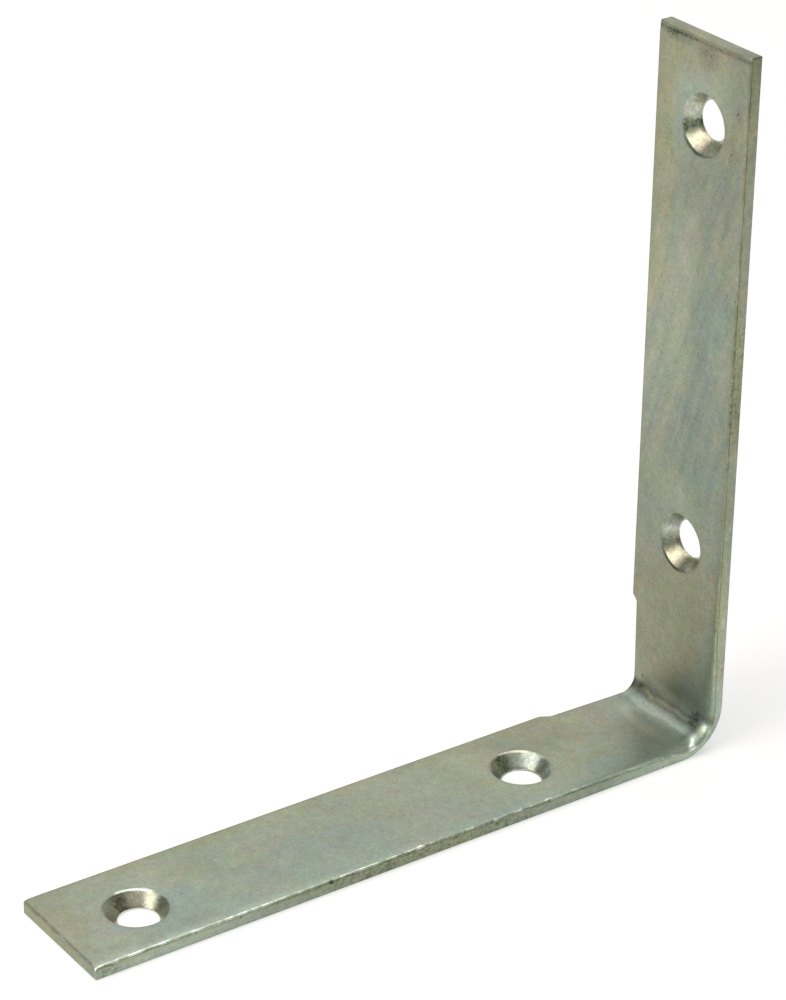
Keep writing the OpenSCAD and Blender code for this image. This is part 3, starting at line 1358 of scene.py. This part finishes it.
    def bump(self, shader: bpy.types.Node, height: object, depth: float) -> None:
        """Dents the surface by a height pattern, as deep as given in millimetres."""
        node = self.add("ShaderNodeBump")
        node.inputs["Strength"].default_value = 1.0
        node.inputs["Distance"].default_value = depth * MM
        self.link(height, node.inputs["Height"])
        self.link(node.outputs[0], shader.inputs["Normal"])

    def shown(self, lit: float, seen: float) -> object:
        """Chooses a strength by what a ray is for.

        Args:
            lit: the strength for rays that only light something.
            seen: the strength for what the camera, a gloss or a clear part shows.

        Returns:
            The strength's socket.
        """
        path = self.add("ShaderNodeLightPath")
        most = self.math("MAXIMUM", path.outputs["Is Camera Ray"], path.outputs["Is Glossy Ray"])
        most = self.math("MAXIMUM", most, path.outputs["Is Transmission Ray"])
        return self.math("MULTIPLY_ADD", most, seen - lit, lit)


@dataclass
class Studio:
    """Floor, light and camera round the part. Lengths are in metres and angles in degrees."""

    lens: float = 125.261
    view_azimuth: float = 54.8117
    view_drop: float = 27.1267
    view_roll: float = -0.7096
    aim: tuple[float, float, float] = (-0.0000583, -0.000774, 0.0490)
    distance: float = 0.438285
    fill: float = 0.15
    floor_glow: float = 0.56
    softboxes: tuple = (
        ("softbox_top", (-0.035, 0.175, 0.92), (1.43, 0.85), 1.3, (1.0, 0.97, 0.93)),
        ("softbox_left", (-0.83, 0.0, 0.56), (0.5, 0.5), 3.0, (1.0, 0.95, 0.86)),
    )
    dull_cards: tuple = (
        ("card_back_left", 104.0, 152.0, -1.0, 42.0, 0.62, 0.16),
        ("card_front", 200.0, 345.0, 2.0, 55.0, 1.25, 0.34),
        ("card_right", -15.0, 26.0, 2.0, 44.0, 1.15, 0.5),
    )

    def camera(self) -> bpy.types.Object:
        """Sets up the camera.

        Returns:
            The camera, which is the scene's own.
        """
        data = bpy.data.cameras.new("studio_camera")
        data.sensor_fit = "AUTO"
        data.sensor_width = 36.0
        data.lens = self.lens
        data.clip_start = 0.01
        data.clip_end = 50.0
        camera = bpy.data.objects.new("studio_camera", data)
        azimuth, drop = math.radians(self.view_azimuth), math.radians(self.view_drop)
        ahead = Vector(
            (
                math.cos(azimuth) * math.cos(drop),
                math.sin(azimuth) * math.cos(drop),
                -math.sin(drop),
            )
        )
        turn = ahead.to_track_quat("-Z", "Y").to_matrix().to_4x4()
        roll = Matrix.Rotation(-math.radians(self.view_roll), 4, "Z")
        place = Matrix.Translation(Vector(self.aim) - ahead * self.distance)
        camera.matrix_world = place @ turn @ roll
        bpy.context.scene.collection.objects.link(camera)
        bpy.context.scene.camera = camera
        return camera

    def world(self) -> None:
        """Gives the scene a white world, a little dimmer for what it lights than for what it shows."""
        world = bpy.data.worlds.new("studio_world")
        world.use_nodes = True
        bench = Bench(world.node_tree)
        back = world.node_tree.nodes["Background"]
        back.inputs["Color"].default_value = (1, 1, 1, 1)
        bench.link(bench.shown(self.fill, 1.0), back.inputs["Strength"])
        bpy.context.scene.world = world

    def panels(self) -> None:
        """Hangs the two softboxes."""
        for name, place, size, level, colour in self.softboxes:
            data = bpy.data.lights.new(name, "AREA")
            data.shape = "RECTANGLE"
            data.size, data.size_y = size
            data.energy = level * math.pi * size[0] * size[1]
            data.color = colour
            lamp = bpy.data.objects.new(name, data)
            ahead = Vector((0, 0, 0.03)) - Vector(place)
            turn = ahead.to_track_quat("-Z", "Y").to_matrix().to_4x4()
            lamp.matrix_world = Matrix.Translation(Vector(place)) @ turn
            lamp.visible_camera = False
            bpy.context.scene.collection.objects.link(lamp)

    def cards(self) -> None:
        """Stands the dim cards round the part that give the metal something to mirror."""
        for name, first, last, low, high, reach, level in self.dull_cards:
            bm = bmesh.new()
            bmesh.ops.create_grid(bm, x_segments=12, y_segments=1, size=0.5)
            for v in bm.verts:
                turn = math.radians(first + (last - first) * (v.co.x + 0.5))
                rise = math.radians(low + (high - low) * (v.co.y + 0.5))
                flat = reach * math.cos(rise)
                v.co = (flat * math.cos(turn), flat * math.sin(turn), reach * math.sin(rise) + 0.03)
            mesh = bpy.data.meshes.new(name)
            bm.to_mesh(mesh)
            bm.free()
            card = bpy.data.objects.new(name, mesh)
            card.visible_camera = False
            card.visible_diffuse = False
            card.visible_shadow = False
            material = bpy.data.materials.new(name)
            material.use_nodes = True
            bench = Bench(material.node_tree, clear=True)
            glow = bench.add("ShaderNodeEmission")
            glow.inputs["Color"].default_value = (level, level, level, 1)
            out = bench.add("ShaderNodeOutputMaterial")
            bench.link(glow.outputs[0], out.inputs["Surface"])
            mesh.materials.append(material)
            bpy.context.scene.collection.objects.link(card)

    def floor(self) -> bpy.types.Object:
        """Lays the floor under the part.

        Returns:
            The floor.
        """
        bm = bmesh.new()
        bmesh.ops.create_grid(bm, x_segments=1, y_segments=1, size=4.0)
        mesh = bpy.data.meshes.new("studio_floor")
        bm.to_mesh(mesh)
        bm.free()
        floor = bpy.data.objects.new("studio_floor", mesh)
        floor.location = (0, 0, -0.00005)
        bpy.context.scene.collection.objects.link(floor)
        material = bpy.data.materials.new("studio_floor_white")
        material.use_nodes = True
        bench = Bench(material.node_tree, clear=True)
        diffuse = bench.add("ShaderNodeBsdfDiffuse")
        diffuse.inputs["Color"].default_value = (0.8, 0.8, 0.8, 1)
        glow = bench.add("ShaderNodeEmission")
        place = bench.add("ShaderNodeTexCoord").outputs["Object"]
        reach = bench.add("ShaderNodeVectorMath")
        reach.operation = "LENGTH"
        bench.link(place, reach.inputs[0])
        far = bench.add("ShaderNodeMapRange")
        far.interpolation_type = "SMOOTHSTEP"
        far.inputs["From Min"].default_value = 0.7
        far.inputs["From Max"].default_value = 2.2
        far.inputs["To Min"].default_value = 1.0
        far.inputs["To Max"].default_value = 1.0 / self.floor_glow
        bench.link(reach.outputs["Value"], far.inputs["Value"])
        shown = bench.shown(0.0, self.floor_glow)
        bench.link(bench.math("MULTIPLY", shown, far.outputs[0]), glow.inputs["Strength"])
        both = bench.add("ShaderNodeAddShader")
        bench.link(diffuse.outputs[0], both.inputs[0])
        bench.link(glow.outputs[0], both.inputs[1])
        out = bench.add("ShaderNodeOutputMaterial")
        bench.link(both.outputs[0], out.inputs["Surface"])
        mesh.materials.append(material)
        return floor

    def build(self) -> None:
        """Sets up the whole studio."""
        self.camera()
        self.world()
        self.panels()
        self.cards()
        self.floor()
        bpy.context.scene.view_settings.view_transform = "Standard"


def main() -> None:
    """Builds the dressed part and its studio."""
    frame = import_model()
    piece = Brace().make(frame)
    for finish in (Zinc(), Sheared(), Bored()):
        piece.data.materials.append(finish.material())
    Studio().build()


if __name__ == "__main__":
    logging.basicConfig(level=logging.INFO, format="%(message)s")
    main()
